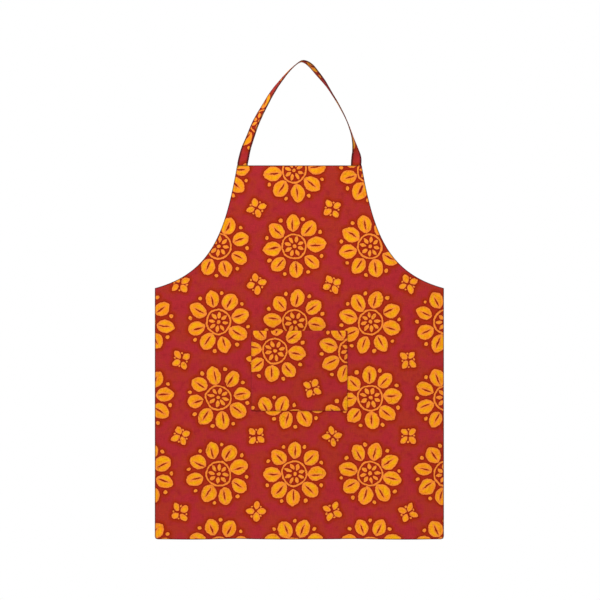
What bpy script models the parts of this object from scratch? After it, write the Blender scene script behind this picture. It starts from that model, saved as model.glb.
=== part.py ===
"""A bib apron of printed cotton, hanging by its neck loop, as the pieces that it is sewn from.

Metres, +Z up. The front of the apron faces -Y and the wearer stands at +Y. The origin is
where a peg holds the neck strap: the underside of the strap, above the panel's centre line.
"""

from bisect import bisect_right
from collections import namedtuple
from math import cos, exp, radians, sin

import bmesh
import bpy
from mathutils import Vector

# The main panel, cut in one piece: a bib above a skirt
PANEL_WIDTH = 0.686
SKIRT_HEIGHT = 0.596
BIB_HEIGHT = 0.2913
BIB_TOP_WIDTH = 0.296

# Each armhole is one cubic curve, with an angle and a pull at each end
ARMHOLE_TOP_ANGLE = radians(9.8)  # from the vertical, at the bib's top corner
ARMHOLE_END_ANGLE = radians(15.1)  # from the horizontal, at the waist corner
ARMHOLE_TOP_PULL = 0.57  # share of the bib's height
ARMHOLE_END_PULL = 0.70  # share of the armhole's run outwards

# Cloth
CLOTH = 0.0012
HEM_THICKNESS = 0.0024
SIDE_HEM = 0.010
TOP_HEM = 0.022
HEM_STEP = 0.0015  # the ramp from a hem down to single cloth
SEAM_GAP = 0.0003  # between two pieces that are sewn face to face

# The patch pocket
POCKET_WIDTH = 0.228
POCKET_HEIGHT = 0.190
POCKET_BELOW_WAIST = 0.101
POCKET_TURN_IN = 0.009
POCKET_TOP_HEM = 0.020
POCKET_GAPE = 0.011  # how far the middle of the mouth stands off the panel

# The neck strap
STRAP_WIDTH = 0.025
STRAP_THICKNESS = 0.002
LOOP_HEIGHT = 0.2442  # from the bib's top edge up to the peg
STRAP_TAB = 0.032  # what is sewn down behind the bib
STRAP_INSET = 0.0008  # from the bib's corner to the strap's edge

# The waist ties
TIE_WIDTH = 0.025
TIE_THICKNESS = 0.0018
TIE_LENGTH = 0.560
TIE_TAB = 0.026
TIE_INSET = 0.0025
TIE_BELOW_WAIST = 0.003
TIE_DRIFT = 0.012  # how far the free end hangs inwards of the sewn one
TIE_STAND_OFF = 0.007  # how far the free length hangs behind the panel

# Folds of the hanging cloth
FOLD_DEPTH = 0.009
Fold = namedtuple("Fold", "across push spread starts full")
# across and spread are shares of the half width. push is a share of FOLD_DEPTH, towards the
# wearer if positive. A fold begins at starts and is full at full, as shares of the height.
FOLDS = (
    Fold(across=0.00, push=0.55, spread=0.22, starts=0.03, full=0.16),
    Fold(across=0.00, push=-0.55, spread=0.22, starts=0.22, full=0.40),
    Fold(across=-0.43, push=0.80, spread=0.12, starts=0.30, full=0.72),
    Fold(across=0.37, push=0.70, spread=0.11, starts=0.40, full=0.80),
    Fold(across=-0.76, push=-0.85, spread=0.17, starts=0.36, full=0.85),
    Fold(across=0.72, push=-0.95, spread=0.19, starts=0.34, full=0.90),
    Fold(across=-0.08, push=-0.60, spread=0.20, starts=0.62, full=0.95),
)

# The neck strap's middle line, from its left end over the peg to its right end
Pass = namedtuple("Pass", "across up turn")
# across is a share of the distance from the centre line to a sewn end, up a share of the
# loop's height above the bib, and turn the degrees from lying flat in the loop's plane.
STRAP_ROUTE = (
    Pass(across=-1.000, up=0.000, turn=0),
    Pass(across=-0.996, up=0.030, turn=1),
    Pass(across=-0.946, up=0.150, turn=21),
    Pass(across=-0.872, up=0.265, turn=36),
    Pass(across=-0.762, up=0.420, turn=45),
    Pass(across=-0.614, up=0.575, turn=57),
    Pass(across=-0.495, up=0.690, turn=63),
    Pass(across=-0.345, up=0.807, turn=73),
    Pass(across=-0.166, up=0.923, turn=82),
    Pass(across=0.000, up=1.000, turn=88),
    Pass(across=0.100, up=1.003, turn=100),
    Pass(across=0.211, up=0.961, turn=110),
    Pass(across=0.330, up=0.884, turn=109),
    Pass(across=0.442, up=0.807, turn=102),
    Pass(across=0.535, up=0.730, turn=94),
    Pass(across=0.706, up=0.575, turn=90),
    Pass(across=0.846, up=0.420, turn=87),
    Pass(across=0.942, up=0.265, turn=78),
    Pass(across=0.990, up=0.150, turn=50),
    Pass(across=1.004, up=0.080, turn=18),
    Pass(across=1.003, up=0.030, turn=1),
    Pass(across=1.000, up=0.000, turn=0),
)

# How finely the cloth is divided
COLUMNS_BESIDE_POCKET = 12
COLUMNS_ON_POCKET = 12
ROWS_DOWN_BIB = 13
ROWS_ABOVE_POCKET = 4
ROWS_ON_POCKET = 8
ROWS_BELOW_POCKET = 10
STRAP_STATIONS = 76
TIE_STATIONS = 28
BAND_COLUMNS = 2

Finish = namedtuple("Finish", "colour roughness")
PRINTED_COTTON = Finish(colour=(0.40, 0.035, 0.022), roughness=0.85)
POCKET_COTTON = Finish(colour=(0.42, 0.040, 0.024), roughness=0.85)
STRAP_COTTON = Finish(colour=(0.38, 0.032, 0.022), roughness=0.88)

PANEL_HEIGHT = BIB_HEIGHT + SKIRT_HEIGHT
HALF_WIDTH = PANEL_WIDTH / 2
PANEL_TOP = -LOOP_HEIGHT
# The strap lies in the plane y = 0, behind the bib's top hem
PANEL_FRONT = -(STRAP_THICKNESS / 2 + SEAM_GAP + HEM_THICKNESS)
TAB_ACROSS = BIB_TOP_WIDTH / 2 - STRAP_INSET - STRAP_WIDTH / 2


def smooth(share):
    """An even rise from 0 to 1, held at both ends."""
    share = min(1.0, max(0.0, share))
    return share * share * (3 - 2 * share)


def between(start, end, parts):
    """Evenly spaced values from start to end, without the first."""
    return [start + (end - start) * (i + 1) / parts for i in range(parts)]


def armhole_point(t):
    """(distance from the centre line, drop below the bib's top) along the armhole, t from 0 to 1."""
    run = HALF_WIDTH - BIB_TOP_WIDTH / 2
    top_pull = ARMHOLE_TOP_PULL * BIB_HEIGHT
    end_pull = ARMHOLE_END_PULL * run
    start = Vector((BIB_TOP_WIDTH / 2, 0))
    first = start + top_pull * Vector((sin(ARMHOLE_TOP_ANGLE), cos(ARMHOLE_TOP_ANGLE)))
    end = Vector((HALF_WIDTH, BIB_HEIGHT))
    second = end - end_pull * Vector((cos(ARMHOLE_END_ANGLE), sin(ARMHOLE_END_ANGLE)))
    s = 1 - t
    return s**3 * start + 3 * s * s * t * first + 3 * s * t * t * second + t**3 * end


def half_width_at(drop):
    """The panel's half width at a drop below the bib's top edge."""
    if drop >= BIB_HEIGHT:
        return HALF_WIDTH
    low, high = 0.0, 1.0
    for _ in range(40):
        middle = (low + high) / 2
        if armhole_point(middle).y < drop:
            low = middle
        else:
            high = middle
    return armhole_point(low).x


def panel_depth(x, drop):
    """The y of the panel's front face."""
    depth = PANEL_FRONT
    for fold in FOLDS:
        away = (x / HALF_WIDTH - fold.across) / fold.spread
        grown = smooth((drop / PANEL_HEIGHT - fold.starts) / (fold.full - fold.starts))
        depth += FOLD_DEPTH * fold.push * exp(-away * away) * grown
    return depth


def material(name, finish):
    """A Principled BSDF material of one colour."""
    made = bpy.data.materials.new(name)
    made.use_nodes = True
    shader = made.node_tree.nodes["Principled BSDF"]
    shader.inputs["Base Color"].default_value = (*finish.colour, 1)
    shader.inputs["Roughness"].default_value = finish.roughness
    shader.inputs["Metallic"].default_value = 0
    made.diffuse_color = (*finish.colour, 1)
    return made


def sheet(name, finish, columns, rows, place, thickness, offset, thick_at=None, thin=1.0):
    """A grid of cloth, moved point by point to place(column, row) and thickened by Solidify.

    offset 1 keeps the placed surface as the front and -1 as the back, and 0 as the middle.
    Where thick_at(column, row) is false the cloth has only the share thin of its thickness.
    """
    surface = bmesh.new()
    bmesh.ops.create_grid(surface, x_segments=columns, y_segments=rows, size=1)
    mesh = bpy.data.meshes.new(name)
    cells = []
    for vertex in surface.verts:
        column = round((vertex.co.x + 1) / 2 * columns)
        row = round((1 - vertex.co.y) / 2 * rows)
        cells.append((column, row))
        vertex.co = place(column, row)
    surface.to_mesh(mesh)
    surface.free()
    mesh.shade_smooth()
    made = bpy.data.objects.new(name, mesh)
    apron.objects.link(made)
    mesh.materials.append(material(name, finish))
    solidify = made.modifiers.new("cloth", "SOLIDIFY")
    solidify.thickness = thickness
    solidify.offset = offset
    if thick_at:
        hems = made.vertex_groups.new(name="hems")
        hems.add([i for i, cell in enumerate(cells) if thick_at(*cell)], 1.0, "REPLACE")
        solidify.vertex_group = hems.name
        solidify.thickness_vertex_group = thin
    return made


def panel_columns():
    """Each column of the panel: (its x in the skirt, its distance in from the side edge or None)."""
    inner = HALF_WIDTH - SIDE_HEM - HEM_STEP
    right = between(POCKET_WIDTH / 2, inner, COLUMNS_BESIDE_POCKET)
    half = between(0, POCKET_WIDTH / 2, COLUMNS_ON_POCKET // 2) + right
    hem = [(HALF_WIDTH - SIDE_HEM, SIDE_HEM), (HALF_WIDTH, 0.0)]
    positive = [(x, None) for x in half] + hem
    return [(-x, inset) for x, inset in reversed(positive)] + [(0.0, None)] + positive


def panel_rows():
    """The drop of each row of the panel below the bib's top edge."""
    pocket_top = BIB_HEIGHT + POCKET_BELOW_WAIST
    pocket_bottom = pocket_top + POCKET_HEIGHT
    below = PANEL_HEIGHT - SIDE_HEM - HEM_STEP
    curve = [armhole_point(t).y for t in between(0, 1, ROWS_DOWN_BIB)]
    hem = [0.0, TOP_HEM, TOP_HEM + HEM_STEP]
    bib = hem + [drop for drop in curve if drop > hem[-1] + HEM_STEP]
    skirt = between(BIB_HEIGHT, pocket_top, ROWS_ABOVE_POCKET)
    skirt += between(pocket_top, pocket_bottom, ROWS_ON_POCKET)
    skirt += between(pocket_bottom, below, ROWS_BELOW_POCKET)
    return bib + skirt + [PANEL_HEIGHT - SIDE_HEM, PANEL_HEIGHT]


def make_panel():
    """The bib and skirt, hemmed all round towards the wearer."""
    columns, rows = panel_columns(), panel_rows()
    inner = HALF_WIDTH - SIDE_HEM - HEM_STEP

    def place(column, row):
        x, inset = columns[column]
        drop = rows[row]
        half = half_width_at(drop)
        side = -1 if x < 0 else 1
        if inset is None:
            x *= (half - SIDE_HEM - HEM_STEP) / inner
        else:
            x = side * (half - inset)
        return Vector((x, panel_depth(x, drop), PANEL_TOP - drop))

    def hemmed(column, row):
        drop = rows[row]
        ends = drop <= TOP_HEM or drop >= PANEL_HEIGHT - SIDE_HEM
        return ends or columns[column][1] is not None

    return sheet(
        "apron_panel", PRINTED_COTTON, len(columns) - 1, len(rows) - 1, place,
        HEM_THICKNESS, -1, hemmed, CLOTH / HEM_THICKNESS,
    )


def pocket_stand_off(x, drop):
    """How far the pocket's inner side stands off the panel, apart from its seam."""
    across = x / (POCKET_WIDTH / 2)
    up = 1 - (drop - BIB_HEIGHT - POCKET_BELOW_WAIST) / POCKET_HEIGHT
    return POCKET_GAPE * (1 - across * across) * smooth(up)


def make_pocket():
    """The patch pocket: turned in at the sides and the bottom, hemmed and open at the top."""
    half = POCKET_WIDTH / 2
    top = BIB_HEIGHT + POCKET_BELOW_WAIST
    turn = [half - POCKET_TURN_IN - HEM_STEP, half - POCKET_TURN_IN, half]
    inside = [x for x in between(0, half, COLUMNS_ON_POCKET // 2) if x < turn[0] - HEM_STEP]
    positive = inside + turn
    columns = [-x for x in reversed(positive)] + [0.0] + positive
    rows = [0.0, POCKET_TOP_HEM, POCKET_TOP_HEM + HEM_STEP]
    bottom = [POCKET_HEIGHT - POCKET_TURN_IN - HEM_STEP, POCKET_HEIGHT - POCKET_TURN_IN]
    grid = between(0, POCKET_HEIGHT, ROWS_ON_POCKET)
    rows += [drop for drop in grid if rows[-1] + HEM_STEP < drop < bottom[0] - HEM_STEP]
    rows += [*bottom, POCKET_HEIGHT]

    def place(column, row):
        x, drop = columns[column], top + rows[row]
        depth = panel_depth(x, drop) - SEAM_GAP - HEM_THICKNESS - pocket_stand_off(x, drop)
        return Vector((x, depth, PANEL_TOP - drop))

    def turned_in(column, row):
        sides = abs(columns[column]) >= turn[1]
        return sides or rows[row] <= POCKET_TOP_HEM or rows[row] >= bottom[1]

    return sheet(
        "pocket", POCKET_COTTON, len(columns) - 1, len(rows) - 1, place,
        HEM_THICKNESS, -1, turned_in, CLOTH / HEM_THICKNESS,
    )


def smooth_row(rows, at):
    """The table's values at a fractional row number, on a Catmull-Rom curve through its rows."""
    i = min(int(at), len(rows) - 2)
    t = at - i
    a, b, c, d = (Vector(rows[min(max(k, 0), len(rows) - 1)]) for k in range(i - 1, i + 3))
    return b + t / 2 * (c - a + t * (2 * a - 5 * b + 4 * c - d + t * (3 * b - a - 3 * c + d)))


def even_stations(rows, count, samples=600):
    """count + 1 values along the smooth curve through rows, evenly spaced along its length."""
    fine = [smooth_row(rows, (len(rows) - 1) * i / samples) for i in range(samples + 1)]
    reached = [0.0]
    for before, after in zip(fine, fine[1:]):
        reached.append(reached[-1] + (after.xyz - before.xyz).length)
    found = []
    for k in range(count + 1):
        wanted = reached[-1] * k / count
        i = min(bisect_right(reached, wanted), samples) - 1
        share = (wanted - reached[i]) / (reached[i + 1] - reached[i])
        found.append(fine[i].lerp(fine[i + 1], share))
    return found


def band(name, finish, stations, width, thickness):
    """A flat band along stations (x, y, z, turn in degrees), of one width and thickness."""
    last = len(stations) - 1

    def place(column, row):
        middle = stations[row].xyz
        ahead = stations[min(row + 1, last)].xyz - stations[max(row - 1, 0)].xyz
        ahead.normalize()
        outwards = Vector((0, 1, 0)).cross(ahead).normalized()
        turn = radians(stations[row].w)
        across = -cos(turn) * outwards + sin(turn) * Vector((0, 1, 0))
        return middle + across * width * (column / BAND_COLUMNS - 0.5)

    return sheet(name, finish, BAND_COLUMNS, last, place, thickness, 0)


def make_neck_strap():
    """The neck loop, sewn behind both corners of the bib and hanging over the peg."""
    rise = LOOP_HEIGHT + STRAP_THICKNESS / 2
    free = [(p.across * TAB_ACROSS, 0, PANEL_TOP + p.up * rise, p.turn) for p in STRAP_ROUTE]
    left = (-TAB_ACROSS, 0, PANEL_TOP - STRAP_TAB, 0)
    right = (TAB_ACROSS, 0, PANEL_TOP - STRAP_TAB, 0)
    stations = even_stations([left, *free, right], STRAP_STATIONS)
    return band("neck_strap", STRAP_COTTON, stations, STRAP_WIDTH, STRAP_THICKNESS)


def make_waist_tie(name, side):
    """One waist tie, sewn behind a waist corner and hanging down behind the panel."""
    sewn = HALF_WIDTH - TIE_INSET - TIE_WIDTH / 2
    top = BIB_HEIGHT + TIE_BELOW_WAIST
    behind = HEM_THICKNESS + SEAM_GAP + TIE_THICKNESS / 2
    edge = HALF_WIDTH - SIDE_HEM / 2
    stations = []
    for i in range(TIE_STATIONS + 1):
        down = TIE_LENGTH * i / TIE_STATIONS
        free = smooth((down - TIE_TAB) / (TIE_LENGTH - TIE_TAB))
        x = side * (sewn - TIE_DRIFT * free)
        depth = panel_depth(side * edge, top + down) + behind
        y = depth + TIE_STAND_OFF * smooth((down - TIE_TAB) / (3 * TIE_TAB))
        stations.append(Vector((x, y, PANEL_TOP - top - down, 0)))
    return band(name, STRAP_COTTON, stations, TIE_WIDTH, TIE_THICKNESS)


for startup_object in list(bpy.data.objects):
    bpy.data.objects.remove(startup_object)
apron = bpy.data.collections.new("kitchen_apron")
bpy.context.scene.collection.children.link(apron)
make_panel()
make_pocket()
make_neck_strap()
make_waist_tie("waist_tie_left", -1)
make_waist_tie("waist_tie_right", 1)
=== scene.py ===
"""The finished look of a hanging bib apron of printed cotton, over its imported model.

Metres, +Z up. The front of the apron faces -Y and a peg would hold its neck strap at the
origin. The print on the cloth is worked out by shader nodes from each piece's own cloth map.
"""

from bisect import bisect_right
from collections import namedtuple
from math import copysign, cos, exp, pi, radians, sin, tau

import bmesh
import bpy
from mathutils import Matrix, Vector, noise


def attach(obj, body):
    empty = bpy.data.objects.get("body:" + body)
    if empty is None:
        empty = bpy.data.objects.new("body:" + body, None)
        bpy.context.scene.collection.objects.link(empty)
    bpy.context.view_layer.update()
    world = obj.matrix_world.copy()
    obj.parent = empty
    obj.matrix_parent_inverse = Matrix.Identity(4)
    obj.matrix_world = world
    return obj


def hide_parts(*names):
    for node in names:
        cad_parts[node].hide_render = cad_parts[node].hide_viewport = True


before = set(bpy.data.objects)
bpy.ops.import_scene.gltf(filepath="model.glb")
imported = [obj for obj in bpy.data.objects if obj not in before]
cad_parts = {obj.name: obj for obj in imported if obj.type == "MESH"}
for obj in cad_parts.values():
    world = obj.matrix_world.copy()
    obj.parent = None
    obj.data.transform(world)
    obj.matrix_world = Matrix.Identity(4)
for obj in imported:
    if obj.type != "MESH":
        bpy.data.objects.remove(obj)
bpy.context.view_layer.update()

# The panel's cut, as in the model
PANEL_WIDTH = 0.686
SKIRT_HEIGHT = 0.596
BIB_HEIGHT = 0.2913
BIB_TOP_WIDTH = 0.296
ARMHOLE_TOP_ANGLE = radians(9.8)  # from the vertical, at the bib's top corner
ARMHOLE_END_ANGLE = radians(15.1)  # from the horizontal, at the waist corner
ARMHOLE_TOP_PULL = 0.57  # share of the bib's height
ARMHOLE_END_PULL = 0.70  # share of the armhole's run outwards

# The patch pocket
POCKET_WIDTH = 0.228
POCKET_HEIGHT = 0.190
POCKET_BELOW_WAIST = 0.101
POCKET_GAPE = 0.011  # how far the middle of the mouth stands off the panel

# The neck strap
STRAP_WIDTH = 0.025
STRAP_THICKNESS = 0.002
STRAP_LAYERS = 0.0024  # the folded cloth, 0.2 mm proud of the strap's solid on each face
LOOP_HEIGHT = 0.2442
STRAP_TAB = 0.032  # what is sewn down behind the bib
STRAP_INSET = 0.0008

# The waist ties
TIE_WIDTH = 0.025
TIE_THICKNESS = 0.0018
TIE_LENGTH = 0.560
TIE_TAB = 0.026
TIE_INSET = 0.0025
TIE_BELOW_WAIST = 0.003
TIE_DRIFT = 0.012  # how far the free end hangs inwards of the sewn one
TIE_STAND_OFF = 0.007  # how far the free length hangs behind the panel
TIE_TURN = 14  # degrees
TIE_TURNS = 9  # per metre

SEAM_GAP = 0.0003
MODEL_HEM = 0.0024

FOLD_DEPTH = 0.009
Fold = namedtuple("Fold", "across push spread starts full")
# The model's folds: across and spread in half widths, push in FOLD_DEPTH, starts and full in heights
FOLDS = (
    Fold(across=0.00, push=0.55, spread=0.22, starts=0.03, full=0.16),
    Fold(across=0.00, push=-0.55, spread=0.22, starts=0.22, full=0.40),
    Fold(across=-0.43, push=0.80, spread=0.12, starts=0.30, full=0.72),
    Fold(across=0.37, push=0.70, spread=0.11, starts=0.40, full=0.80),
    Fold(across=-0.76, push=-0.85, spread=0.17, starts=0.36, full=0.85),
    Fold(across=0.72, push=-0.95, spread=0.19, starts=0.34, full=0.90),
    Fold(across=-0.08, push=-0.60, spread=0.20, starts=0.62, full=0.95),
)

Pass = namedtuple("Pass", "across up turn")
# The neck strap's middle line, in shares of a sewn end's distance and of the loop's height
STRAP_ROUTE = (
    Pass(across=-1.000, up=0.000, turn=0),
    Pass(across=-0.996, up=0.030, turn=1),
    Pass(across=-0.946, up=0.150, turn=21),
    Pass(across=-0.872, up=0.265, turn=36),
    Pass(across=-0.762, up=0.420, turn=45),
    Pass(across=-0.614, up=0.575, turn=57),
    Pass(across=-0.495, up=0.690, turn=63),
    Pass(across=-0.345, up=0.807, turn=73),
    Pass(across=-0.166, up=0.923, turn=82),
    Pass(across=0.000, up=1.000, turn=88),
    Pass(across=0.100, up=1.003, turn=100),
    Pass(across=0.211, up=0.961, turn=110),
    Pass(across=0.330, up=0.884, turn=109),
    Pass(across=0.442, up=0.807, turn=102),
    Pass(across=0.535, up=0.730, turn=94),
    Pass(across=0.706, up=0.575, turn=90),
    Pass(across=0.846, up=0.420, turn=87),
    Pass(across=0.942, up=0.265, turn=78),
    Pass(across=0.990, up=0.150, turn=50),
    Pass(across=1.004, up=0.080, turn=18),
    Pass(across=1.003, up=0.030, turn=1),
    Pass(across=1.000, up=0.000, turn=0),
)

# Real cloth and its hems
CLOTH = 0.0007
HEM = 0.0021
HEM_WIDTH = 0.010
TOP_HEM = 0.022
POCKET_TURN_IN = 0.009
POCKET_TOP_HEM = 0.020
STEP = 0.0006  # over which a hem falls to single cloth
CORNER_ROUND = 0.0065

Wave = namedtuple("Wave", "depth across down seed")
# Small uneven waves of the hanging cloth, across and down in waves per metre
WAVES = (
    Wave(depth=0.0012, across=14, down=6, seed=3.1),
    Wave(depth=0.0004, across=38, down=19, seed=7.7),
)
WAVES_FULL = 0.10  # how far down the bib they have grown to their depth
BAND_RIPPLE = 0.0003
BAND_RIPPLES = 70  # per metre

# The meshes' spacing
CELL = 0.006  # of the cloth's grid
STRAP_SPACING = 0.003
TIE_SPACING = 0.005
CURVE_SAMPLES = 2000
SEAM_POINTS = 80  # along an armhole

# Seams and their stitches
IN_FROM_FOLD = 0.0018  # a hem's seam, from its inner fold
POCKET_STITCH = 0.0032  # the sewn sides' seams, from the pocket's edge
BAND_STITCH = 0.0025  # a band's seams, from its edge
SEAM_END = 0.001  # from the cloth's edge
TOP_SEAM_END = 0.05  # share of the armhole's curve
END_SEAM_HALF = 0.0092  # half the width of the seam round a band's sewn end
TAB_SEAM_HIGH = 0.003  # from the bib's top edge
TAB_SEAM_LOW = 0.004  # from the strap's end
TIE_SEAM_HIGH = 0.004  # from the tie's sewn end
TIE_SEAM_LOW = 0.003  # from the end of its tab
STITCH_PITCH = 0.0032
STITCH_LENGTH = 0.0025
THREAD_RADIUS = 0.00026
THREAD_SUNK = 0.00002  # behind the cloth's front
PINCH = 0.8  # of a band's thickness, left under its stitches
PINCH_REACH = 0.001
BAND_THREAD_OUT = 0.42  # of a band's thickness, from its middle

# Where on the printed cloth the pieces are cut from
PANEL_CUT = (0, 0)
POCKET_CUT = (0.047, 0.068)
STRAP_CUT = (0.36, 0.023)
LEFT_TIE_CUT = (0.12, 0.31)
RIGHT_TIE_CUT = (0.55, 0.02)

PANEL_HEIGHT = BIB_HEIGHT + SKIRT_HEIGHT
HALF_WIDTH = PANEL_WIDTH / 2
PANEL_TOP = -LOOP_HEIGHT
PANEL_FRONT = -(STRAP_THICKNESS / 2 + SEAM_GAP + MODEL_HEM)
POCKET_TOP = BIB_HEIGHT + POCKET_BELOW_WAIST
TAB_ACROSS = BIB_TOP_WIDTH / 2 - STRAP_INSET - STRAP_WIDTH / 2
TIE_ACROSS = HALF_WIDTH - TIE_INSET - TIE_WIDTH / 2
TIE_TOP = BIB_HEIGHT + TIE_BELOW_WAIST


def smooth(share):
    """An even rise from 0 to 1, held at both ends."""
    share = min(1.0, max(0.0, share))
    return share * share * (3 - 2 * share)


def between(start, end, parts):
    """Evenly spaced values from start to end, without the first."""
    return [start + (end - start) * (i + 1) / parts for i in range(parts)]


def read_table(at, places, values):
    """The value at a place, on straight lines between a table's rows."""
    i = min(max(bisect_right(places, at), 1), len(places) - 1)
    share = (at - places[i - 1]) / (places[i] - places[i - 1])
    share = min(1.0, max(0.0, share))
    return values[i - 1] + (values[i] - values[i - 1]) * share


# The hanging cloth

def armhole(t):
    """(point, direction) on the right armhole as (across, drop), t from 0 to 1."""
    run = HALF_WIDTH - BIB_TOP_WIDTH / 2
    top_pull = ARMHOLE_TOP_PULL * BIB_HEIGHT
    end_pull = ARMHOLE_END_PULL * run
    a = Vector((BIB_TOP_WIDTH / 2, 0))
    b = a + top_pull * Vector((sin(ARMHOLE_TOP_ANGLE), cos(ARMHOLE_TOP_ANGLE)))
    d = Vector((HALF_WIDTH, BIB_HEIGHT))
    c = d - end_pull * Vector((cos(ARMHOLE_END_ANGLE), sin(ARMHOLE_END_ANGLE)))
    s = 1 - t
    point = s**3 * a + 3 * s * s * t * b + 3 * s * t * t * c + t**3 * d
    direction = s * s * (b - a) + 2 * s * t * (c - b) + t * t * (d - c)
    return point, direction.normalized()


def fold_depth(x, drop):
    """How far the folds put the cloth behind the panel's plane."""
    depth = 0.0
    for fold in FOLDS:
        away = (x / HALF_WIDTH - fold.across) / fold.spread
        grown = smooth((drop / PANEL_HEIGHT - fold.starts) / (fold.full - fold.starts))
        depth += FOLD_DEPTH * fold.push * exp(-away * away) * grown
    return depth


def wave_depth(x, drop):
    """How far the small waves put the cloth back, which fade out at the bib's top."""
    depth = 0.0
    for wave in WAVES:
        place = Vector((x * wave.across, drop * wave.down, wave.seed))
        depth += wave.depth * noise.noise(place)
    return smooth(drop / WAVES_FULL) * depth


def cloth_y(x, drop):
    """The y of the panel's front face, without its hems' relief."""
    return PANEL_FRONT + fold_depth(x, drop) + wave_depth(x, drop)


def pocket_y(x, drop):
    """The y of the pocket's front face."""
    across = x / (POCKET_WIDTH / 2)
    up = 1 - (drop - POCKET_TOP) / POCKET_HEIGHT
    gape = POCKET_GAPE * max(0.0, 1 - across * across) * smooth(up)
    return cloth_y(x, drop) - SEAM_GAP - HEM - gape


def strap_end_y(x, drop):
    """The y of the neck strap's back where it is sewn down, the same everywhere."""
    return STRAP_LAYERS / 2


def tie_y(x, drop):
    """The y of a waist tie's middle, which hangs a little behind the skirt below its sewn end."""
    edge = copysign(HALF_WIDTH - HEM_WIDTH / 2, x)
    lifted = TIE_STAND_OFF * smooth((drop - TIE_TOP - TIE_TAB) / (3 * TIE_TAB))
    return cloth_y(edge, drop) + MODEL_HEM + SEAM_GAP + TIE_THICKNESS / 2 + lifted


# Sheets of cloth

# A row of a hem's section: how far its front stands forward, and its thickness as a share of HEM
Relief = namedtuple("Relief", "inset forward thickness")


def hem_section(width, stitch):
    """A hem in section, from its edge inwards, drawn in a little by its stitches."""
    return (
        Relief(inset=0.0, forward=-0.00075, thickness=0.30),
        Relief(inset=0.0006, forward=-0.00018, thickness=0.75),
        Relief(inset=0.0014, forward=0.00010, thickness=0.95),
        Relief(inset=stitch - 0.0012, forward=0.00022, thickness=1.00),
        Relief(inset=stitch, forward=-0.00022, thickness=0.80),
        Relief(inset=stitch + 0.0012, forward=0.00010, thickness=0.95),
        Relief(inset=width, forward=0.0, thickness=0.85),
        Relief(inset=width + STEP, forward=0.0, thickness=CLOTH / HEM),
    )


SIDE_SECTION = hem_section(HEM_WIDTH, HEM_WIDTH - IN_FROM_FOLD)
TOP_SECTION = hem_section(TOP_HEM, TOP_HEM - IN_FROM_FOLD)
POCKET_SECTION = hem_section(POCKET_TURN_IN, POCKET_STITCH)
MOUTH_SECTION = hem_section(POCKET_TOP_HEM, POCKET_TOP_HEM - IN_FROM_FOLD)


def insets_of(section):
    """The rows' distances from the edge, with more in any wide stretch."""
    found = [0.0]
    for row in section[1:]:
        wide = row.inset - found[-1]
        found += between(found[-1], row.inset, max(1, round(wide / CELL)))
    return found


def section_at(section, inset):
    """(forward, thickness) of a hem's section at a distance from the edge."""
    insets = [row.inset for row in section]
    forward = read_table(inset, insets, [row.forward for row in section])
    return forward, read_table(inset, insets, [row.thickness for row in section])


def relief_at(side_section, side, top_section, top):
    """(forward, thickness) where hems meet: the thicker one's, but any edge stays rolled."""
    rows = section_at(side_section, side), section_at(top_section, top)
    choose = min if min(side, top) < side_section[2].inset else max
    return choose(row[0] for row in rows), choose(row[1] for row in rows)


# A point of a sheet: side is its distance from the side edge, and flat where it lay, as (x, drop),
# before the side hem was folded to the back
Place = namedtuple("Place", "x drop side flat")


def cloth_grid(name, places, heights, y_at, hems, cut):
    """A sheet of cloth from rows of Place, thickened backwards, with maps of its front and back.

    heights is the drop of its top and bottom edges, hems its side and top sections.
    """
    grid = bmesh.new()
    columns, rows = len(places[0]) - 1, len(places) - 1
    bmesh.ops.create_grid(grid, x_segments=columns, y_segments=rows, size=1)
    grid.verts.index_update()
    placed, thicknesses = lay_grid(grid, places, heights, y_at, hems)
    map_grid(grid, placed, heights, hems, cut)
    made = add_piece(mesh_of(name, grid))
    thicken(made, thicknesses)
    return made


def lay_grid(grid, places, heights, y_at, hems):
    """Moves a plain grid's points to their places, and lists their Places and thicknesses."""
    edge = grid.verts.layers.float.new("edge")
    placed = []
    thicknesses = []
    for vertex in grid.verts:
        column = round((vertex.co.x + 1) / 2 * (len(places[0]) - 1))
        row = round((1 - vertex.co.y) / 2 * (len(places) - 1))
        at = places[row][column]
        top, below = at.drop - heights[0], heights[1] - at.drop
        forward, thickness = relief_at(hems[0], min(at.side, below), hems[1], top)
        vertex[edge] = min(at.side, below, top)
        placed.append(at)
        thicknesses.append(thickness)
        x, drop = rounded_corner(at.x, at.drop)
        vertex.co = (x, y_at(x, drop) - forward, PANEL_TOP - drop)
    return placed, thicknesses


def map_grid(grid, placed, heights, hems, cut):
    """Lays the printed cloth on both faces, so that it runs on over the folded hems."""
    front_map = grid.loops.layers.uv.new("Cloth")
    back_map = grid.loops.layers.uv.new("Back")
    side_hem, top_hem = (section[-2].inset for section in hems)
    for face in grid.faces:
        around = [placed[vertex.index] for vertex in face.verts]
        side = sum(at.side for at in around) / 4
        middle = sum(at.drop for at in around) / 4
        for loop in face.loops:
            at = placed[loop.vert.index]
            loop[front_map].uv = (at.x + cut[0], cut[1] - at.drop)
            x, drop = at.flat if side < side_hem else (at.x, at.drop)
            if middle < heights[0] + top_hem:
                drop = 2 * heights[0] - drop
            if middle > heights[1] - side_hem:
                drop = 2 * heights[1] - drop
            loop[back_map].uv = (x + cut[0], cut[1] - drop)


def mesh_of(name, shape):
    """The mesh of a finished bmesh."""
    mesh = bpy.data.meshes.new(name)
    shape.to_mesh(mesh)
    shape.free()
    return mesh


def add_piece(mesh):
    """Makes a smooth-shaded piece of a mesh, under the mesh's name."""
    mesh.shade_smooth()
    made = bpy.data.objects.new(mesh.name, mesh)
    bpy.context.scene.collection.objects.link(made)
    return made


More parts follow.
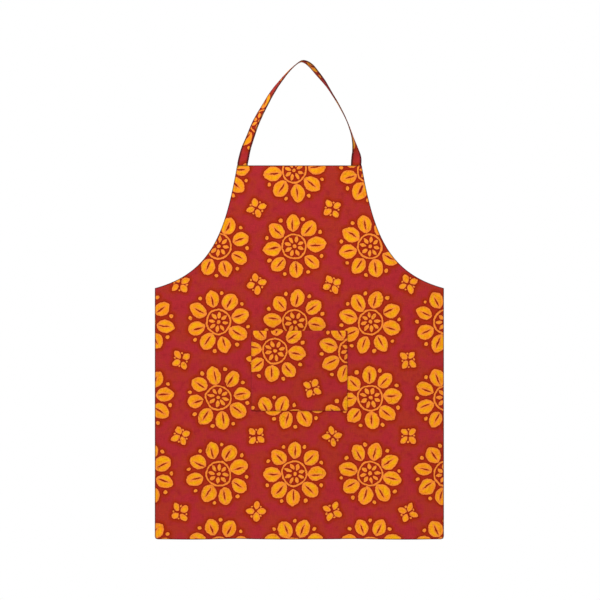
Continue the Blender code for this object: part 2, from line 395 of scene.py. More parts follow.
def thicken(sheet, thicknesses):
    """Thickens a sheet backwards, point by point as shares of HEM, with its back in slot 1."""
    group = sheet.vertex_groups.new(name="thickness")
    for index, share in enumerate(thicknesses):
        group.add([index], share, "REPLACE")
    solidify = sheet.modifiers.new("cloth", "SOLIDIFY")
    solidify.thickness = HEM
    solidify.offset = -1
    solidify.vertex_group = group.name
    solidify.material_offset = 1


def rounded_corner(x, drop):
    """The point pulled in to a small arc at the skirt's bottom corners."""
    centre = Vector((HALF_WIDTH - CORNER_ROUND, PANEL_HEIGHT - CORNER_ROUND))
    away = Vector((abs(x), drop)) - centre
    if away.x <= 0 or away.y <= 0:
        return x, drop
    away *= max(away.x, away.y) / away.length
    point = centre + away
    return copysign(point.x, x), point.y


def armhole_rows():
    """Where on the armhole's curve the panel's rows start: the top hem's, then evenly spaced."""
    samples = [i / CURVE_SAMPLES for i in range(CURVE_SAMPLES + 1)]
    points = [armhole(t)[0] for t in samples]
    drops = [point.y for point in points]
    lengths = [0.0]
    for before, after in zip(points, points[1:]):
        lengths.append(lengths[-1] + (after - before).length)
    wanted = [read_table(drop, drops, samples) for drop in insets_of(TOP_SECTION)]
    start = read_table(TOP_HEM + CELL, drops, lengths)
    stop = lengths[-1] - HEM_WIDTH - STEP
    spaced = [start, *between(start, stop, round((stop - start) / CELL))]
    return wanted + [read_table(length, lengths, samples) for length in spaced]


def panel_edge_rows():
    """(edge, inward) of each of the panel's rows at its right edge, as (x, drop).

    inward is where a point one metre in from the edge would be, mitred at the waist corner.
    """
    rows = []
    for t in armhole_rows():
        point, direction = armhole(t)
        level = smooth(point.y / TOP_HEM)
        rows.append((point, Vector((-direction.y, direction.x * level))))
    mitre = (1 - sin(ARMHOLE_END_ANGLE)) / cos(ARMHOLE_END_ANGLE)
    rows.append((Vector((HALF_WIDTH, BIB_HEIGHT)), Vector((-1, mitre))))
    bottom = [PANEL_HEIGHT - inset for inset in reversed(insets_of(SIDE_SECTION))]
    start = BIB_HEIGHT + HEM_WIDTH + STEP
    spaced = between(start, bottom[0], round((bottom[0] - start) / CELL))
    for drop in [start, *spaced, *bottom[1:]]:
        rows.append((Vector((HALF_WIDTH, drop)), Vector((-1, 0))))
    return rows


def make_panel():
    """The bib and skirt in one, with its narrow hems and the wide one along the bib's top."""
    insets = insets_of(SIDE_SECTION)
    columns = round(PANEL_WIDTH / CELL)
    places = []
    for edge, inward in panel_edge_rows():
        hem = [Place(*(edge + inward * s), s, tuple(edge - inward * s)) for s in insets]
        left = [Place(-at.x, at.drop, at.side, (-at.flat[0], at.flat[1])) for at in hem]
        inner = hem[-1]
        middle = []
        for x in between(-inner.x, inner.x, columns)[:-1]:
            middle.append(Place(x, inner.drop, inner.side + inner.x - abs(x), (x, inner.drop)))
        places.append(left + middle + hem[::-1])
    heights = 0, PANEL_HEIGHT
    hems = SIDE_SECTION, TOP_SECTION
    return cloth_grid("printed_panel", places, heights, cloth_y, hems, PANEL_CUT)


def make_pocket():
    """The patch pocket, turned in at its three sewn sides, with a wider hem along its mouth."""
    half = POCKET_WIDTH / 2
    low = POCKET_TOP + POCKET_HEIGHT
    turned = insets_of(POCKET_SECTION)
    inner = half - turned[-1]
    xs = [-half + inset for inset in turned]
    xs += between(-inner, inner, round(2 * inner / CELL))[:-1]
    xs += [half - inset for inset in reversed(turned)]
    drops = [POCKET_TOP + inset for inset in insets_of(MOUTH_SECTION)]
    end = low - turned[-1]
    drops += between(drops[-1], end, round((end - drops[-1]) / CELL))[:-1]
    drops += [low - inset for inset in reversed(turned)]
    places = [[Place(x, drop, half - abs(x), (x, drop)) for x in xs] for drop in drops]
    heights = POCKET_TOP, low
    hems = POCKET_SECTION, MOUTH_SECTION
    return cloth_grid("printed_pocket", places, heights, pocket_y, hems, POCKET_CUT)


# Bands: the neck strap and the waist ties

def smooth_row(rows, at):
    """The table's values at a fractional row number, on a Catmull-Rom curve through its rows."""
    i = min(int(at), len(rows) - 2)
    t = at - i
    a, b, c, d = (Vector(rows[min(max(k, 0), len(rows) - 1)]) for k in range(i - 1, i + 3))
    return b + t / 2 * (c - a + t * (2 * a - 5 * b + 4 * c - d + t * (3 * b - a - 3 * c + d)))


def even_stations(rows, spacing, samples=1500):
    """Values along the smooth curve through rows, about evenly spaced along its length."""
    fine = [smooth_row(rows, (len(rows) - 1) * i / samples) for i in range(samples + 1)]
    reached = [0.0]
    for before, after in zip(fine, fine[1:]):
        reached.append(reached[-1] + (after.xyz - before.xyz).length)
    count = round(reached[-1] / spacing)
    found = []
    for k in range(count + 1):
        wanted = reached[-1] * k / count
        i = min(bisect_right(reached, wanted), samples) - 1
        share = (wanted - reached[i]) / (reached[i + 1] - reached[i])
        found.append(fine[i].lerp(fine[i + 1], share))
    return found


def strap_stations():
    """The neck strap's stations from its left tab over the peg to its right tab."""
    rise = LOOP_HEIGHT + STRAP_THICKNESS / 2
    free = [(p.across * TAB_ACROSS, 0, PANEL_TOP + p.up * rise, p.turn) for p in STRAP_ROUTE]
    left = (-TAB_ACROSS, 0, PANEL_TOP - STRAP_TAB, 0)
    right = (TAB_ACROSS, 0, PANEL_TOP - STRAP_TAB, 0)
    return even_stations([left, *free, right], STRAP_SPACING)


def tie_stations(side):
    """A waist tie's stations, from its sewn end at a waist corner down to its free end."""
    stations = []
    count = round(TIE_LENGTH / TIE_SPACING)
    for i in range(count + 1):
        down = TIE_LENGTH * i / count
        free = smooth((down - TIE_TAB) / (TIE_LENGTH - TIE_TAB))
        x = side * (TIE_ACROSS - TIE_DRIFT * free)
        turn = side * TIE_TURN * free * noise.noise(Vector((down * TIE_TURNS, side, 2.5)))
        y = tie_y(x, TIE_TOP + down)
        stations.append(Vector((x, y, PANEL_TOP - TIE_TOP - down, turn)))
    return stations


def band_frames(stations):
    """(middle, across, out) at each station (x, y, z, turn) of a band, out towards its front."""
    frames = []
    last = len(stations) - 1
    for i, station in enumerate(stations):
        ahead = stations[min(i + 1, last)].xyz - stations[max(i - 1, 0)].xyz
        ahead.normalize()
        outwards = Vector((0, 1, 0)).cross(ahead).normalized()
        turn = radians(station.w)
        across = -cos(turn) * outwards + sin(turn) * Vector((0, 1, 0))
        frames.append((station.xyz.copy(), across, ahead.cross(across).normalized()))
    return frames


def band_section(width, thickness, points=9):
    """(across, out, along the cloth) round a folded band's section, pinched where it is stitched."""
    section = []
    for side in (1, -1):
        for i in range(points):
            share = -cos(pi * i / (points - 1)) * side
            from_edge = width / 2 * (1 - abs(share))
            half = thickness / 2 * (1 - abs(share) ** 10) ** 0.5
            if abs(from_edge - BAND_STITCH) < PINCH_REACH:
                half *= PINCH
            wrapped = share * width / 2 if side > 0 else width - share * width / 2
            section.append((share * width / 2, side * half, wrapped))
    return section[:points] + section[points + 1 : -1]


def band_rings(shape, stations, width, thickness):
    """A ring of corners (vertex, distance round, distance along) at each station of a band."""
    edge = shape.verts.layers.float.new("edge")
    section = band_section(width, thickness)
    frames = band_frames(stations)
    along = 0.0
    before = frames[0][0]
    rings = []
    for middle, across, out in frames:
        along += (middle - before).length
        before = middle
        ripple = BAND_RIPPLE * noise.noise(Vector((along * BAND_RIPPLES, width, 0.5)))
        ring = []
        for aside, forward, wrapped in section:
            vertex = shape.verts.new(middle + across * aside + out * (forward + ripple))
            vertex[edge] = width / 2 - abs(aside)
            ring.append((vertex, wrapped, along))
        rings.append(ring)
    return rings


def ring_faces(rings, width):
    """The corners of each face between a band's rings, and of its two end faces."""
    faces = [rings[0][::-1], rings[-1]]
    count = len(rings[0])
    for low, high in zip(rings, rings[1:]):
        for i in range(count):
            corners = [low[i], low[(i + 1) % count], high[(i + 1) % count], high[i]]
            if i == count - 1:
                corners[1:3] = [(v, wrapped + 2 * width, far) for v, wrapped, far in corners[1:3]]
            faces.append(corners)
    return faces


def make_band(name, stations, width, thickness, cut):
    """A folded and stitched band of the printed cloth, closed at both ends."""
    shape = bmesh.new()
    cloth_map = shape.loops.layers.uv.new("Cloth")
    rings = band_rings(shape, stations, width, thickness)
    for corners in ring_faces(rings, width):
        face = shape.faces.new([vertex for vertex, _, _ in corners])
        for loop, (_, wrapped, far) in zip(face.loops, corners):
            loop[cloth_map].uv = (wrapped + cut[0], far + cut[1])
    bmesh.ops.recalc_face_normals(shape, faces=shape.faces)
    made = add_piece(mesh_of(name, shape))
    made.data.set_sharp_from_angle(angle=radians(60))
    return made


# Thread

def bead(points, faces, middle, along, radius, half_length):
    """Adds one stitch: a six-sided bead with pointed ends, lying along a direction."""
    aside = along.orthogonal().normalized()
    other = along.cross(aside)
    first = len(points)
    points.append(middle - along * half_length)
    for share, size in ((-0.6, 0.85), (0.6, 0.85)):
        for k in range(6):
            ray = aside * cos(tau * k / 6) + other * sin(tau * k / 6)
            points.append(middle + along * half_length * share + ray * radius * size)
    points.append(middle + along * half_length)
    for k in range(6):
        nxt = (k + 1) % 6
        faces.append((first, first + 1 + nxt, first + 1 + k))
        faces.append((first + 1 + k, first + 1 + nxt, first + 7 + nxt, first + 7 + k))
        faces.append((first + 7 + k, first + 7 + nxt, first + 13))


def make_stitches(name, paths):
    """Rows of stitches along paths of points, as one piece."""
    points = []
    faces = []
    for path in paths:
        owed = STITCH_PITCH / 2
        for a, b in zip(path, path[1:]):
            length = (b - a).length
            along = (b - a).normalized()
            while owed <= length:
                bead(points, faces, a + along * owed, along, THREAD_RADIUS, STITCH_LENGTH / 2)
                owed += STITCH_PITCH
            owed -= length
    mesh = bpy.data.meshes.new(name)
    mesh.from_pydata(points, [], faces)
    return add_piece(mesh)


def on_sheet(flat, y_at, back):
    """A path of (x, drop) laid on the cloth, or this far behind its front."""
    return [Vector((x, y_at(x, drop) + back, PANEL_TOP - drop)) for x, drop in flat]


def straight(start, end, step=0.004):
    """Points (x, drop) from start to end."""
    start, end = Vector(start), Vector(end)
    count = max(1, round((end - start).length / step))
    return [tuple(start.lerp(end, i / count)) for i in range(count + 1)]


def outline(corners):
    """Straight seams (x, drop) from each corner to the next."""
    return [straight(a, b) for a, b in zip(corners, corners[1:])]


def armhole_seam(side, inset, inner):
    """An armhole's stitch line (x, drop), as far out as inner."""
    seam = []
    for i in range(SEAM_POINTS + 1):
        point, direction = armhole(i / SEAM_POINTS)
        at = point + inset * Vector((-direction.y, direction.x))
        if at.x < inner and at.y > SEAM_END:
            seam.append((side * at.x, at.y))
    return seam


def panel_seams():
    """The panel's stitch lines as (x, drop): armholes, sides, bottom and the bib's top."""
    seams = []
    inset = HEM_WIDTH - IN_FROM_FOLD
    inner = HALF_WIDTH - inset
    waist = BIB_HEIGHT + 0.8 * inset
    for side in (-1, 1):
        seams.append([*armhole_seam(side, inset, inner), (side * inner, waist)])
        seams.append(straight((side * inner, waist), (side * inner, PANEL_HEIGHT - SEAM_END)))
    bottom = PANEL_HEIGHT - inset
    seams.append(straight((-HALF_WIDTH + SEAM_END, bottom), (HALF_WIDTH - SEAM_END, bottom)))
    top = TOP_HEM - IN_FROM_FOLD
    reach = armhole(TOP_SEAM_END)[0].x - SEAM_END
    seams.append(straight((-reach, top), (reach, top)))
    return seams


def pocket_seams():
    """The pocket's stitch lines as (x, drop): three sewn sides and the mouth's hem."""
    half = POCKET_WIDTH / 2 - POCKET_STITCH
    high = POCKET_TOP + SEAM_END
    low = POCKET_TOP + POCKET_HEIGHT - POCKET_STITCH
    mouth = POCKET_TOP + POCKET_TOP_HEM - IN_FROM_FOLD
    sewn = outline([(-half, high), (-half, low), (half, low), (half, high)])
    return [*sewn, straight((-half, mouth), (half, mouth))]


def end_seams(side, middle, high, low):
    """The stitched rectangle, as lines (x, drop), that holds a band's end on one side."""
    near, far = (side * (middle + aside) for aside in (-END_SEAM_HALF, END_SEAM_HALF))
    return outline([(near, high), (near, low), (far, low), (far, high), (near, high)])


def tab_seams():
    """The stitch lines (x, drop) that hold the neck strap's two ends to the bib."""
    low = STRAP_TAB - TAB_SEAM_LOW
    left, right = (end_seams(side, TAB_ACROSS, TAB_SEAM_HIGH, low) for side in (-1, 1))
    return left + right


def tie_end_seams(side):
    """The stitch lines (x, drop) that hold a waist tie to one side of the skirt."""
    return end_seams(side, TIE_ACROSS, TIE_TOP + TIE_SEAM_HIGH, TIE_TOP + TIE_TAB - TIE_SEAM_LOW)


def band_seams(stations, width, thickness):
    """Both edges' stitch lines, on both faces of a band."""
    frames = band_frames(stations)
    seams = []
    for side in (-1, 1):
        for face in (-1, 1):
            aside = side * (width / 2 - BAND_STITCH)
            raised = face * thickness * BAND_THREAD_OUT
            seams.append([middle + across * aside + out * raised for middle, across, out in frames])
    return seams


# Shader nodes

class Number:
    """A value worked out by shader nodes. Python's operators add the nodes."""

    def __init__(self, tree, socket):
        self.tree = tree
        self.socket = socket

    def put(self, operation, *others):
        """What a Math node makes of this value and others."""
        node = self.tree.nodes.new("ShaderNodeMath")
        node.operation = operation
        fill(self.tree, node, (self, *others))
        return Number(self.tree, node.outputs[0])

    def __add__(self, other):
        return self.put("ADD", other)

    def __sub__(self, other):
        return self.put("SUBTRACT", other)

    def __mul__(self, other):
        return self.put("MULTIPLY", other)

    def __truediv__(self, other):
        return self.put("DIVIDE", other)

    def __neg__(self):
        return self.put("MULTIPLY", -1.0)

    def low(self, other):
        return self.put("MINIMUM", other)

    def high(self, other):
        return self.put("MAXIMUM", other)

    def rounded(self):
        return (self + 0.5).put("FLOOR")

    def root(self):
        return self.put("SQRT")

    def size(self):
        return self.put("ABSOLUTE")

    def rise(self, start, end):
        """0 at start, 1 at end, smooth between and held beyond."""
        node = self.tree.nodes.new("ShaderNodeMapRange")
        node.interpolation_type = "SMOOTHSTEP"
        self.tree.links.new(self.socket, node.inputs["Value"])
        node.inputs["From Min"].default_value = start
        node.inputs["From Max"].default_value = end
        return Number(self.tree, node.outputs["Result"])


def fill(tree, node, values):
    """Sets or links a node's inputs, in their order."""
    for entry, value in zip(node.inputs, values):
        if isinstance(value, Number):
            tree.links.new(value.socket, entry)
        else:
            entry.default_value = value


def length_of(x, y):
    """The length of the vector (x, y)."""
    return (x * x + y * y).root()


def vector_of(tree, x, y, z=0.0):
    """A vector socket from three values."""
    node = tree.nodes.new("ShaderNodeCombineXYZ")
    fill(tree, node, (x, y, z))
    return node.outputs[0]


def noise_of(tree, where, scale, detail=2.0, roughness=0.5):
    """A soft noise from 0 to 1, and its colour socket, scale in waves per metre."""
    node = tree.nodes.new("ShaderNodeTexNoise")
    tree.links.new(where, node.inputs["Vector"])
    node.inputs["Scale"].default_value = scale
    node.inputs["Detail"].default_value = detail
    node.inputs["Roughness"].default_value = roughness
    return Number(tree, node.outputs["Fac"]), node.outputs["Color"]


def chance_of(tree, where):
    """An even random value from 0 to 1 for each different vector."""
    node = tree.nodes.new("ShaderNodeTexWhiteNoise")
    node.noise_dimensions = "3D"
    tree.links.new(where, node.inputs["Vector"])
    return Number(tree, node.outputs["Value"])


def blend_colours(tree, share, first, second):
    """A colour socket from first at share 0 to second at share 1."""
    node = tree.nodes.new("ShaderNodeMix")
    node.data_type = "RGBA"
    tree.links.new(share.socket, node.inputs["Factor"])
    for entry, colour in ((node.inputs[6], first), (node.inputs[7], second)):
        if isinstance(colour, tuple):
            entry.default_value = (*colour, 1)
        else:
            tree.links.new(colour, entry)
    return node.outputs[2]


def linear(red, green, blue):
    """A linear colour from screen values of 0 to 255."""
    def one(value):
        share = value / 255
        return share / 12.92 if share <= 0.04045 else ((share + 0.055) / 1.055) ** 2.4
    return one(red), one(green), one(blue)


def new_material(name):
    """A new material, its node tree and its shader."""
    made = bpy.data.materials.new(name)
    made.use_nodes = True
    return made, made.node_tree, made.node_tree.nodes["Principled BSDF"]


# The print's motifs

REPEAT = 0.180  # from one rosette to the next, both ways
ROSETTE_SHIFT = 0.012  # of the lattice, both ways
# A ring of pointed petals: out is their middles' distance from the centre, long and wide their half
# sizes. half_step turns the ring by half a petal, and cut takes it away from what is before it.
Petals = namedtuple("Petals", "count out long wide half_step cut")
ROSETTE = (
    Petals(count=8, out=0.0545, long=0.0215, wide=0.0168, half_step=False, cut=False),
    Petals(count=8, out=0.0510, long=0.0125, wide=0.0019, half_step=False, cut=True),
    Petals(count=8, out=0.0690, long=0.0046, wide=0.0046, half_step=True, cut=False),
    Petals(count=8, out=0.0165, long=0.0082, wide=0.0044, half_step=True, cut=False),
    Petals(count=1, out=0.0, long=0.0046, wide=0.0046, half_step=False, cut=False),
)
ROSETTE_RING = (0.0285, 0.0021)  # radius and half width
BLOSSOM = (
    Petals(count=4, out=0.0140, long=0.0105, wide=0.0072, half_step=False, cut=False),
    Petals(count=4, out=0.0150, long=0.0024, wide=0.0024, half_step=True, cut=False),
)
# How much one petal differs from the next
ODD_ANGLE = 0.07  # radians
ODD_PLACE = 0.2  # of its half length
ODD_SIZE = 0.12  # of its half width


def petal_distance(tree, petals, across, up, cell, turn):
    """The distance to the edge of a ring of petals, negative inside them."""
    reach = length_of(across, up)
    if petals.out == 0:
        return reach - petals.long
    step = tau / petals.count
    angle = up.put("ARCTAN2", across) / step + turn
    if petals.half_step:
        angle = angle + 0.5
    nearest = angle.rounded()
    index = nearest.put("FLOORED_MODULO", float(petals.count))
    seed = vector_of(tree, cell[0] * 3.0 + index, cell[1] * 5.0 - index, petals.out)
    odd = chance_of(tree, seed) - 0.5
    aside = (angle - nearest) * step + odd * ODD_ANGLE
    bow = (petals.long**2 + petals.wide**2) / (2 * petals.wide)
    x = reach * aside.put("COSINE") - petals.out - odd * (petals.long * ODD_PLACE)
    y = (reach * aside.put("SINE")).size() + (bow - petals.wide)
    return length_of(x, y) - bow + odd * (petals.wide * ODD_SIZE)


def motif_distance(tree, motif, u, v, shift, ring=None):
    """The distance to the edge of a motif that repeats on a square lattice."""
    across, up = (u + shift) / REPEAT, (v + shift) / REPEAT
    cell = across.rounded(), up.rounded()
    turn = chance_of(tree, vector_of(tree, *cell, 1.7))
    across, up = (across - cell[0]) * REPEAT, (up - cell[1]) * REPEAT
    found = None
    if ring:
        found = (length_of(across, up) - ring[0]).size() - ring[1]
    for petals in motif:
        part = petal_distance(tree, petals, across, up, cell, turn)
        if petals.cut:
            found = found.high(-part)
        elif found is None:
            found = part
        else:
            found = found.low(part)
    return found


# The cotton and its dyes

# A dye, or a painted shade, over what is under it: none of it at start, and all its strength at
# full. Both are values of a noise, or distances from an edge.
DyeOrPaintedShade = namedtuple("DyeOrPaintedShade", "colour start full strength")
CRIMSON = linear(171, 38, 45)
GOLD = linear(241, 171, 6)
DARK_LINE = linear(140, 20, 0)
# Painted shade: the dark red that the cloth's edges fade to, standing in for the shade on their rolled
# edges
EDGE_PAINTED_SHADE = linear(42, 10, 16)
BLACK = (0.0, 0.0, 0.0)
BRICK = DyeOrPaintedShade(linear(169, 46, 33), start=0.40, full=0.60, strength=1.0)
DEEP_RED = DyeOrPaintedShade(linear(151, 25, 36), start=0.50, full=0.75, strength=0.6)
HALO = DyeOrPaintedShade(linear(160, 38, 0), start=0.0110, full=0.003, strength=0.85)
OUTLINE = DyeOrPaintedShade(DARK_LINE, start=0.0034, full=0.0010, strength=0.95)
AMBER = DyeOrPaintedShade(linear(243, 144, 12), start=0.40, full=0.60, strength=1.0)
RIM = DyeOrPaintedShade(linear(246, 138, 54), start=-0.0048, full=-0.0012, strength=0.95)
SPECKS = DyeOrPaintedShade(linear(218, 112, 6), start=0.56, full=0.68, strength=0.6)
BARE_GRAINS = DyeOrPaintedShade(DARK_LINE, start=0.62, full=0.72, strength=0.40)
MOTIF_EDGE = (0.0006, -0.0008)  # over which ground turns to gold

Sway = namedtuple("Sway", "scale detail roughness reach")
# How a line drawn by hand strays
SWAYS = (
    Sway(scale=20, detail=2, roughness=0.5, reach=0.011),
    Sway(scale=150, detail=3, roughness=0.65, reach=0.0046),
)
CRACKS = 60  # per metre
CRACK_WIDTH = 0.034  # in cracks' spacing
CRACKED = (0.50, 0.66)  # where the noise that places them lets them in
CRACK_STRENGTH = 0.5

THREAD_SPACING = 0.00062
SLUBS_ACROSS = 900.0  # per metre
SLUBS_ALONG = 50.0
WEAVE_SHADE = 0.05
SLUB_SHADE = 0.16

# Heights in the cloth's surface
WEAVE_HEIGHT = 0.00002
SLUB_HEIGHT = 0.00005
GRAIN_HEIGHT = 0.00020
PUCKER_HEIGHT = 0.0011
PUCKER_REACH = 0.007  # from a seam
SOFT_HEIGHT = 0.0007

COTTON_FINISH = {
    "Roughness": 0.88,
    "Specular IOR Level": 0.10,
    "Sheen Weight": 0.035,
    "Sheen Roughness": 0.5,
    "Sheen Tint": (1.0, 0.7, 0.6, 1.0),
}


def dyed_or_shaded(tree, under, by, dye):
    """A colour with a dye or a painted shade over it, by the number that says where."""
    return blend_colours(tree, by.rise(dye.start, dye.full) * dye.strength, under, dye.colour)


def cloth_place(tree, cloth_map):
    """The place on the cloth: a vector socket, and its two numbers."""
    cloth = tree.nodes.new("ShaderNodeUVMap")
    cloth.uv_map = cloth_map
    split = tree.nodes.new("ShaderNodeSeparateXYZ")
    tree.links.new(cloth.outputs[0], split.inputs[0])
    return cloth.outputs[0], Number(tree, split.outputs[0]), Number(tree, split.outputs[1])


def hand_drawn(tree, cloth, u, v):
    """The place on the cloth, astray by as much as a line drawn by hand."""
    for sway in SWAYS:
        _, shake = noise_of(tree, cloth, sway.scale, sway.detail, sway.roughness)
        parts = tree.nodes.new("ShaderNodeSeparateColor")
        tree.links.new(shake, parts.inputs[0])
        u = u + (Number(tree, parts.outputs[0]) - 0.5) * sway.reach
        v = v + (Number(tree, parts.outputs[1]) - 0.5) * sway.reach
    return u, v


def ground_colour(tree, cloth, patchy, drawn):
    """The mottled red ground, darker towards the motifs."""
    broad, _ = noise_of(tree, cloth, scale=17, detail=3, roughness=0.6)
    ground = dyed_or_shaded(tree, CRIMSON, broad, BRICK)
    ground = dyed_or_shaded(tree, ground, patchy, DEEP_RED)
    ground = dyed_or_shaded(tree, ground, drawn, HALO)
    return dyed_or_shaded(tree, ground, drawn, OUTLINE)


def gold_colour(tree, cloth, u, v, patchy, grainy, drawn):
    """The motifs' gold: amber patches, a paler rim, specks, cracks and bare grains."""
    gold = dyed_or_shaded(tree, GOLD, patchy * 0.65 + grainy * 0.35, AMBER)
    gold = dyed_or_shaded(tree, gold, drawn, RIM)
    specks, _ = noise_of(tree, cloth, scale=200, detail=2, roughness=0.6)
    gold = dyed_or_shaded(tree, gold, specks, SPECKS)
    gold = blend_colours(tree, cracked(tree, cloth, u, v), gold, DARK_LINE)
    return dyed_or_shaded(tree, gold, grainy, BARE_GRAINS)


def cracked(tree, cloth, u, v):
    """How strongly the dye shows through fine cracks in the wax, in some places only."""
    cells = tree.nodes.new("ShaderNodeTexVoronoi")
    cells.feature = "DISTANCE_TO_EDGE"
    tree.links.new(vector_of(tree, u, v), cells.inputs["Vector"])
    cells.inputs["Scale"].default_value = CRACKS
    thin = Number(tree, cells.outputs["Distance"]).rise(CRACK_WIDTH, 0.0)
    here, _ = noise_of(tree, cloth, scale=24, detail=1)
    return thin * here.rise(*CRACKED) * CRACK_STRENGTH


def weave_of(tree, u, v):
    """The plain weave, from -1 to 1, and the unevenness of its threads, from 0 to 2."""
    warp, weft = ((place * (tau / THREAD_SPACING)).put("SINE") for place in (u, v))
    along = vector_of(tree, u * SLUBS_ACROSS, v * SLUBS_ALONG)
    across = vector_of(tree, u * SLUBS_ALONG, v * SLUBS_ACROSS)
    first, second = (noise_of(tree, slubs, scale=1, detail=1)[0] for slubs in (along, across))
    return warp * weft, first + second


def raise_surface(tree, shader, height):
    """Gives the shader a height in metres."""
    bump = tree.nodes.new("ShaderNodeBump")
    bump.inputs["Strength"].default_value = 1.0
    bump.inputs["Distance"].default_value = 1.0
    tree.links.new(height.socket, bump.inputs["Height"])
    tree.links.new(bump.outputs[0], shader.inputs["Normal"])


def printed_cotton(name, cloth_map, stitch, edge_painted_shade, edge_reach, edge_full=0.0002):
    """Red cotton with gold motifs, drawn in wax by hand and put in the dye, as a shader on a cloth map.

    stitch is how far from the edge a seam draws the cloth in. The painted shade along the edge,
    a darkening that stands in for the shade on the rolled edge, has all its strength,
    edge_painted_shade, within edge_full of it, and fades out at edge_reach.
    """
    made, tree, shader = new_material(name)
    cloth, u, v = cloth_place(tree, cloth_map)
    astray = hand_drawn(tree, cloth, u, v)
    rosettes = motif_distance(tree, ROSETTE, *astray, ROSETTE_SHIFT, ROSETTE_RING)
    blossoms = motif_distance(tree, BLOSSOM, *astray, ROSETTE_SHIFT + REPEAT / 2)
    drawn = rosettes.low(blossoms)
    patchy, _ = noise_of(tree, cloth, scale=55, detail=3, roughness=0.6)
    grainy, _ = noise_of(tree, cloth, scale=330, detail=3, roughness=0.7)
    woven, uneven = weave_of(tree, u, v)
    edge = tree.nodes.new("ShaderNodeAttribute")
    edge.attribute_name = "edge"
    inset = Number(tree, edge.outputs["Fac"])

    ground = ground_colour(tree, cloth, patchy, drawn)
    gold = gold_colour(tree, cloth, *astray, patchy, grainy, drawn)
    colour = blend_colours(tree, drawn.rise(*MOTIF_EDGE), ground, gold)
    # Painted shade: the edges darkened, standing in for the shade on the rolled hems and folded band
    # edges
    colour = dyed_or_shaded(tree, colour, inset, DyeOrPaintedShade(EDGE_PAINTED_SHADE, edge_reach, edge_full, edge_painted_shade))
    # Darker in the weave's pattern and along its thick slubs
    weave_and_slub_darkening = (woven * WEAVE_SHADE + uneven.rise(0.8, 1.3) * SLUB_SHADE).high(0.0)
    tree.links.new(blend_colours(tree, weave_and_slub_darkening, colour, BLACK), shader.inputs["Base Color"])
    for setting, value in COTTON_FINISH.items():
        shader.inputs[setting].default_value = value

    puckers, _ = noise_of(tree, cloth, scale=130, detail=1)
    drawn_in = (inset - stitch).size().rise(PUCKER_REACH, 0.0)
    height = woven * WEAVE_HEIGHT + uneven * SLUB_HEIGHT + (grainy - 0.5) * GRAIN_HEIGHT
    height = height + (puckers - 0.5) * drawn_in * PUCKER_HEIGHT + (patchy - 0.5) * SOFT_HEIGHT
    raise_surface(tree, shader, height)
    return made


def plain(name, colour, roughness):
    """A material of one colour with a faint grain, for the thread and the floor."""
    made, tree, shader = new_material(name)
    shader.inputs["Roughness"].default_value = roughness
    place = tree.nodes.new("ShaderNodeNewGeometry").outputs["Position"]
    grain, _ = noise_of(tree, place, scale=900, detail=2)
    darker = tuple(0.7 * part for part in colour)
    grained = blend_colours(tree, grain.rise(0.35, 0.65) * 0.5, colour, darker)
    tree.links.new(grained, shader.inputs["Base Color"])
    return made


# Building

Band = namedtuple("Band", "name node stations width thickness cut ends")


def strap_band():
    """The neck strap, with the stitches round its two sewn ends."""
    ends = [on_sheet(seam, strap_end_y, 0) for seam in tab_seams()]
    stations = strap_stations()
    return Band("strap", "neck_strap", stations, STRAP_WIDTH, STRAP_LAYERS, STRAP_CUT, ends)


def tie_band(side, word, cut):
    """A waist tie, with the stitches round its sewn end."""
    ends = [on_sheet(seam, tie_y, TIE_THICKNESS / 2) for seam in tie_end_seams(side)]
    names = f"tie_{word}", f"waist_tie_{word}"
    return Band(*names, tie_stations(side), TIE_WIDTH, TIE_THICKNESS, cut, ends)


def add_band(band, cotton):
    """Makes a band and its stitches, which hang on the panel."""
    stations, width, thickness = band.stations, band.width, band.thickness
    cloth = make_band(f"printed_{band.name}", stations, width, thickness, band.cut)
    cloth.data.materials.append(cotton)
    sewn = make_stitches(f"{band.name}_stitches", band_seams(stations, width, thickness) + band.ends)
    length = sum((b.xyz - a.xyz).length for a, b in zip(stations, stations[1:]))
    return cloth, sewn


def panel_thread_paths():
    """The panel's own seams on both its faces, and those that come through from the bands."""
    backs = THREAD_SUNK, HEM
    own = [on_sheet(seam, cloth_y, back) for seam in panel_seams() for back in backs]
    through = tab_seams() + tie_end_seams(-1) + tie_end_seams(1)
    return own + [on_sheet(seam, cloth_y, THREAD_SUNK) for seam in through]


def make_cottons():
    """The printed cotton of the panel's front, any back, the pocket, the strap and the ties."""
    hem_stitch = HEM_WIDTH - IN_FROM_FOLD
    # Each piece's edges are darkened with painted shade, standing in for the shade on its rolled edges
    return (
        printed_cotton("printed_cotton", "Cloth", hem_stitch, edge_painted_shade=0.90, edge_reach=0.0034),
        printed_cotton("printed_cotton_back", "Back", hem_stitch, edge_painted_shade=0.50, edge_reach=0.0020),
        printed_cotton("pocket_cotton", "Cloth", POCKET_STITCH, edge_painted_shade=0.15, edge_reach=0.0020),
        printed_cotton("strap_cotton", "Cloth", BAND_STITCH, 0.85, edge_reach=0.0062, edge_full=0.0026),
        printed_cotton("tie_cotton", "Cloth", BAND_STITCH, edge_painted_shade=0.50, edge_reach=0.0028),
    )


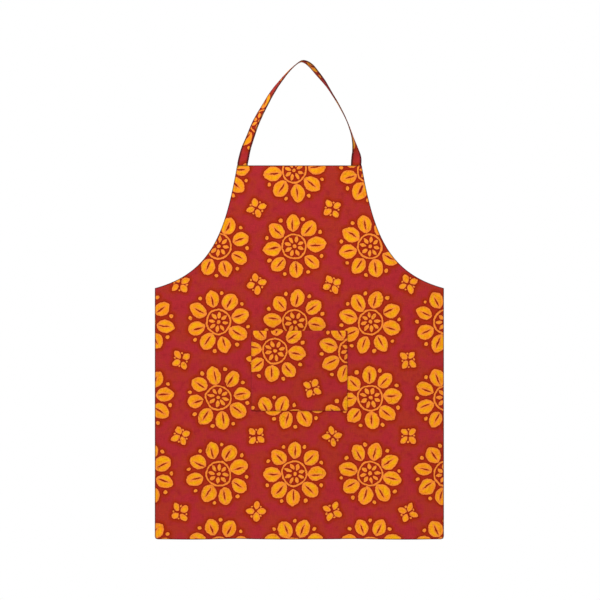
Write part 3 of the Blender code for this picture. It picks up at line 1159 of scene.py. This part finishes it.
def dress():
    """Makes every piece, hands each its material and ties it to the model."""
    front, back, pocket_front, strap_cotton, tie_cotton = make_cottons()
    thread = plain("thread", linear(146, 30, 32), 0.7)
    panel, pocket = make_panel(), make_pocket()
    for piece, cotton in ((panel, front), (pocket, pocket_front)):
        piece.data.materials.append(cotton)
        piece.data.materials.append(back)
    panel_thread = make_stitches("panel_stitches", panel_thread_paths())
    pocket_paths = [on_sheet(seam, pocket_y, THREAD_SUNK) for seam in pocket_seams()]
    pocket_thread = make_stitches("pocket_stitches", pocket_paths)
    pieces = [(panel, "apron_panel", panel_thread), (pocket, "pocket", pocket_thread)]
    for band, cotton in (
        (strap_band(), strap_cotton),
        (tie_band(-1, "left", LEFT_TIE_CUT), tie_cotton),
        (tie_band(1, "right", RIGHT_TIE_CUT), tie_cotton),
    ):
        cloth, sewn = add_band(band, cotton)
        pieces.append((cloth, band.node, sewn))
    for piece, node, sewn in pieces:
        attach(piece, "root")
        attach(sewn, "root")
        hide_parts(node)
        sewn.data.materials.append(thread)


# The studio

FRAME_SPAN = 1.4247  # the height that the photograph's frame takes in, at the apron
FRAME_MIDDLE = Vector((0.0015, 0, -0.5637))
CAMERA_DISTANCE = 5.4
SENSOR = 36
FLOOR_HEIGHT = -1.41
FLOOR_RADIUS = 0.84
WORLD_LIGHT = 0.52

Lamp = namedtuple("Lamp", "name place size power")
LAMPS = (
    Lamp("key", place=(-1.5, -1.95, 1.75), size=1.4, power=80),
    Lamp("fill", place=(2.0, -2.2, 0.9), size=1.8, power=28),
    Lamp("back", place=(0.9, 2.8, 0.9), size=2.0, power=60),
)


def set_camera():
    """A long lens, straight in front."""
    data = bpy.data.cameras.new("camera")
    data.sensor_width = SENSOR
    data.lens = SENSOR * CAMERA_DISTANCE / FRAME_SPAN
    data.clip_end = 60
    camera = bpy.data.objects.new("camera", data)
    camera.location = FRAME_MIDDLE - Vector((0, CAMERA_DISTANCE, 0))
    camera.rotation_euler = (radians(90), 0, 0)
    bpy.context.scene.collection.objects.link(camera)
    bpy.context.scene.camera = camera


def add_lamp(lamp):
    """A square soft light that faces the apron's middle."""
    data = bpy.data.lights.new(lamp.name, "AREA")
    data.size = lamp.size
    data.energy = lamp.power
    made = bpy.data.objects.new(lamp.name, data)
    made.location = lamp.place
    towards = FRAME_MIDDLE - Vector(lamp.place)
    made.rotation_euler = towards.to_track_quat("-Z", "Y").to_euler()
    bpy.context.scene.collection.objects.link(made)


def set_world():
    """A world that is white to the camera and a softer light on the apron."""
    world = bpy.data.worlds.new("studio")
    world.use_nodes = True
    tree = world.node_tree
    seen = tree.nodes.new("ShaderNodeLightPath")
    backdrop = tree.nodes["Background"]
    backdrop.inputs["Color"].default_value = (1, 1, 1, 1)
    strength = Number(tree, seen.outputs["Is Camera Ray"]) * (1 - WORLD_LIGHT) + WORLD_LIGHT
    tree.links.new(strength.socket, backdrop.inputs["Strength"])
    bpy.context.scene.world = world


def set_studio():
    """A white studio: a white world, three soft lights and a pale round floor below the view."""
    bpy.context.scene.view_settings.view_transform = "Standard"
    set_world()
    for lamp in LAMPS:
        add_lamp(lamp)
    middle = (0, 0, FLOOR_HEIGHT)
    bpy.ops.mesh.primitive_circle_add(
        vertices=96, radius=FLOOR_RADIUS, fill_type="NGON", location=middle
    )
    floor = bpy.context.object
    floor.name = "floor"
    floor.data.materials.append(plain("floor_paint", linear(248, 248, 247), 0.9))


set_camera()
set_studio()
dress()
bpy.context.view_layer.update()
